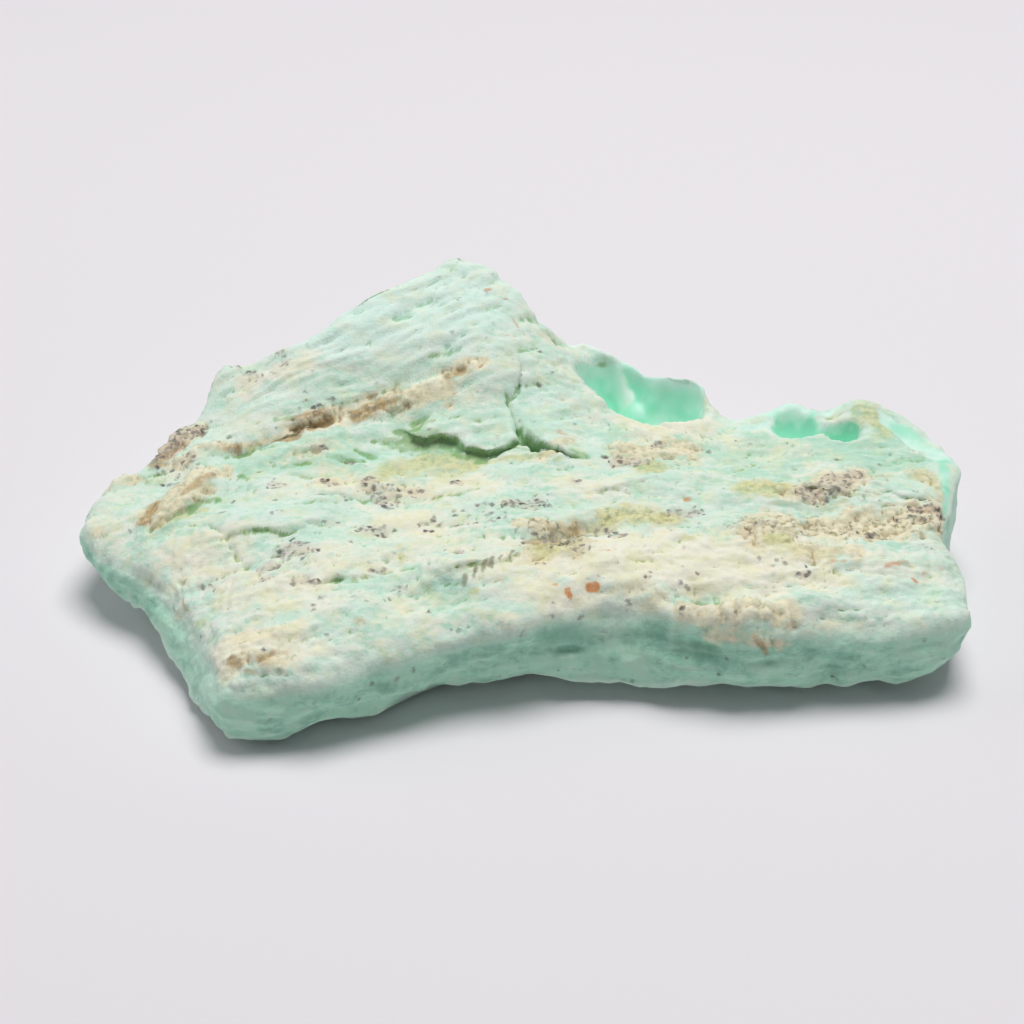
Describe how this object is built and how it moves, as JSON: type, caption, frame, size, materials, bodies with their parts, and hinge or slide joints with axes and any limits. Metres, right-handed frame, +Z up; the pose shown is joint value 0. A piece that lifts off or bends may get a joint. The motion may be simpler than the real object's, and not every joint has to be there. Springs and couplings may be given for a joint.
{
  "type": "raw chrysoprase",
  "caption": "Raw chrysoprase: a flat, broken slab of pale green stone with a raised peak, a shell-shaped green hollow and a rough crust, resting on its flat underside.",
  "frame": {"origin": "bottom centre of the stone's box, on the surface it rests on", "axes": "+X along the length, from the tapered end to the blunt end; -Y towards the long broken front side; +Z up"},
  "size_m": [0.09, 0.062, 0.023],
  "materials": {
    "chrysoprase": "rough pale green stone"
  },
  "bodies": {
    "root": {"chrysoprase": "chrysoprase"}
  },
  "joints": []
}
